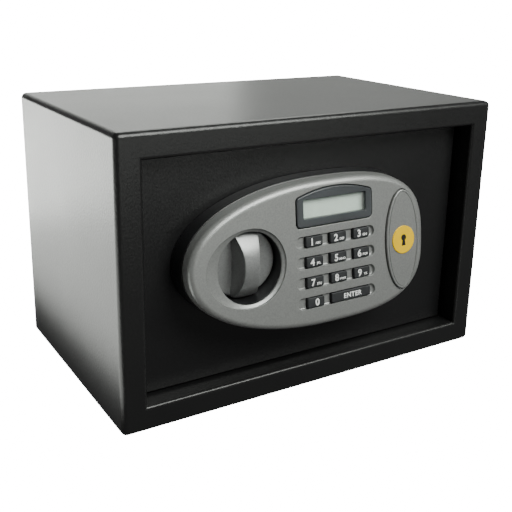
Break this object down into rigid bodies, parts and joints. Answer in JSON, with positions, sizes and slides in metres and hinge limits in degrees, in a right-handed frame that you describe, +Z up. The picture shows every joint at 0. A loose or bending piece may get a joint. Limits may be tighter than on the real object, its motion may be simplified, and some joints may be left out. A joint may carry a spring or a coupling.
{
  "type": "in room safe",
  "caption": "Small steel in-room safe with a recessed hinged door, a tilted keypad housing with display and knob, and sliding lock bolts behind the door.",
  "frame": {"origin": "middle of the cabinet's underside, midway between its front frame and its back", "axes": "+Z up, -Y out of the door, +X towards the door hinge"},
  "size_m": [0.31, 0.206, 0.2],
  "materials": {
    "cabinet_paint": "satin black powder coat with a fine orange peel",
    "door_paint": "satin black powder coat",
    "housing_grey": "metallic grey lacquer on moulded plastic, satin",
    "black_plastic": "fine matt moulded",
    "bezel_plastic": "dark grey, semi-gloss",
    "clear_plastic": "clear acrylic",
    "display_glass": "liquid crystal panel, grey-green",
    "key_rubber": "matt silicone",
    "silicone_grey": "matt silicone",
    "board_green": "solder mask",
    "yellow_label": "printed disc under clear resin",
    "zinc_steel": "bright zinc plating",
    "bolt_steel": "turned and plated",
    "spring_steel": "drawn wire",
    "brass": "turned",
    "coil_tape": "wrapped tape",
    "cell_wrap": "printed film",
    "red_plastic": "moulded",
    "felt": "needle felt",
    "cable_red": "wire sheath"
  },
  "bodies": {
    "cabinet": {"cabinet_shell": "cabinet_paint", "back_panel": "cabinet_paint", "door_stop_frame": "cabinet_paint", "hinge_bracket_upper": "cabinet_paint", "hinge_bracket_lower": "cabinet_paint", "floor_mat": "felt"},
    "door": {"door_plate": "door_paint", "hinge_pin_upper": "zinc_steel", "hinge_pin_lower": "zinc_steel", "housing_base": "black_plastic", "housing_cover": "housing_grey", "knob_well": "black_plastic", "display_bezel": "bezel_plastic", "display_window": "clear_plastic", "display_panel": "display_glass", "housing_screw_1": "zinc_steel", "housing_screw_2": "zinc_steel", "keypad_membrane": "silicone_grey", "keypad_board": "board_green", "bolt_guide": "zinc_steel", "guide_post_left": "zinc_steel", "guide_post_right": "zinc_steel", "solenoid_frame": "zinc_steel", "solenoid_coil": "coil_tape", "override_lock_body": "brass", "override_lock_nut": "zinc_steel", "lock_cover": "door_paint", "battery_box": "black_plastic", "batteries": "cell_wrap", "cover_screw_1": "zinc_steel", "cover_screw_2": "zinc_steel", "cover_screw_3": "zinc_steel", "cover_screw_4": "zinc_steel", "solenoid_lead": "cable_red", "battery_lead": "cable_red"},
    "knob": {"knob": "housing_grey", "knob_spindle": "zinc_steel", "drive_crank": "zinc_steel"},
    "bolt_work": {"bolt_carrier": "zinc_steel", "bolt_upper": "bolt_steel", "bolt_lower": "bolt_steel"},
    "plunger": {"solenoid_plunger": "zinc_steel", "plunger_spring": "spring_steel"},
    "override_lock": {"override_plug": "zinc_steel", "override_cam": "zinc_steel"},
    "override_cap": {"override_cap": "housing_grey", "cap_badge": "yellow_label"},
    "battery_lid": {"battery_lid": "black_plastic"},
    "reset_button": {"reset_button": "red_plastic"},
    "key_0": {"key_0": "key_rubber"},
    "key_1": {"key_1": "key_rubber"},
    "key_2": {"key_2": "key_rubber"},
    "key_3": {"key_3": "key_rubber"},
    "key_4": {"key_4": "key_rubber"},
    "key_5": {"key_5": "key_rubber"},
    "key_6": {"key_6": "key_rubber"},
    "key_7": {"key_7": "key_rubber"},
    "key_8": {"key_8": "key_rubber"},
    "key_9": {"key_9": "key_rubber"},
    "key_start": {"key_start": "key_rubber"}
  },
  "joints": [
    {"name": "door_swing", "type": "hinge", "parent": "cabinet", "child": "door", "pos_m": [0.1215, -0.071, 0.1], "axis": [0, 0, 1], "range_deg": [0, 100]},
    {"name": "knob_turn", "type": "hinge", "parent": "door", "child": "knob", "pos_m": [-0.0658, -0.093, 0.1045], "axis": [0, -1, 0], "range_deg": [0, 90]},
    {"name": "bolt_throw", "type": "slide", "parent": "door", "child": "bolt_work", "axis": [-1, 0, 0], "range_m": [0, 0.02]},
    {"name": "plunger_lift", "type": "slide", "parent": "door", "child": "plunger", "axis": [0, 0, 1], "range_m": [0, 0.0015], "stiffness_N_per_m": 60, "deforming": ["plunger_spring"]},
    {"name": "override_turn", "type": "hinge", "parent": "door", "child": "override_lock", "pos_m": [0.0633, -0.1018, 0.105], "axis": [0, 1, 0], "range_deg": [0, 90]},
    {"name": "cap_lift_off", "type": "slide", "parent": "door", "child": "override_cap", "axis": [0, -0.9925, 0.1219], "range_m": [0, 0.012]},
    {"name": "battery_lid_lift_off", "type": "slide", "parent": "door", "child": "battery_lid", "axis": [0, 1, 0], "range_m": [0, 0.015]},
    {"name": "reset_press", "type": "slide", "parent": "door", "child": "reset_button", "axis": [0, -1, 0], "range_m": [0, 0.002], "stiffness_N_per_m": 250},
    {"name": "key_0_press", "type": "slide", "parent": "door", "child": "key_0", "axis": [0, 0.9925, -0.1219], "range_m": [0, 0.0012], "stiffness_N_per_m": 250},
    {"name": "key_1_press", "type": "slide", "parent": "door", "child": "key_1", "axis": [0, 0.9925, -0.1219], "range_m": [0, 0.0012], "stiffness_N_per_m": 250},
    {"name": "key_2_press", "type": "slide", "parent": "door", "child": "key_2", "axis": [0, 0.9925, -0.1219], "range_m": [0, 0.0012], "stiffness_N_per_m": 250},
    {"name": "key_3_press", "type": "slide", "parent": "door", "child": "key_3", "axis": [0, 0.9925, -0.1219], "range_m": [0, 0.0012], "stiffness_N_per_m": 250},
    {"name": "key_4_press", "type": "slide", "parent": "door", "child": "key_4", "axis": [0, 0.9925, -0.1219], "range_m": [0, 0.0012], "stiffness_N_per_m": 250},
    {"name": "key_5_press", "type": "slide", "parent": "door", "child": "key_5", "axis": [0, 0.9925, -0.1219], "range_m": [0, 0.0012], "stiffness_N_per_m": 250},
    {"name": "key_6_press", "type": "slide", "parent": "door", "child": "key_6", "axis": [0, 0.9925, -0.1219], "range_m": [0, 0.0012], "stiffness_N_per_m": 250},
    {"name": "key_7_press", "type": "slide", "parent": "door", "child": "key_7", "axis": [0, 0.9925, -0.1219], "range_m": [0, 0.0012], "stiffness_N_per_m": 250},
    {"name": "key_8_press", "type": "slide", "parent": "door", "child": "key_8", "axis": [0, 0.9925, -0.1219], "range_m": [0, 0.0012], "stiffness_N_per_m": 250},
    {"name": "key_9_press", "type": "slide", "parent": "door", "child": "key_9", "axis": [0, 0.9925, -0.1219], "range_m": [0, 0.0012], "stiffness_N_per_m": 250},
    {"name": "key_start_press", "type": "slide", "parent": "door", "child": "key_start", "axis": [0, 0.9925, -0.1219], "range_m": [0, 0.0012], "stiffness_N_per_m": 250}
  ],
  "couplings": [
    {"joint": "bolt_throw", "follows": "knob_turn", "m_per_rad": 0.012732}
  ]
}
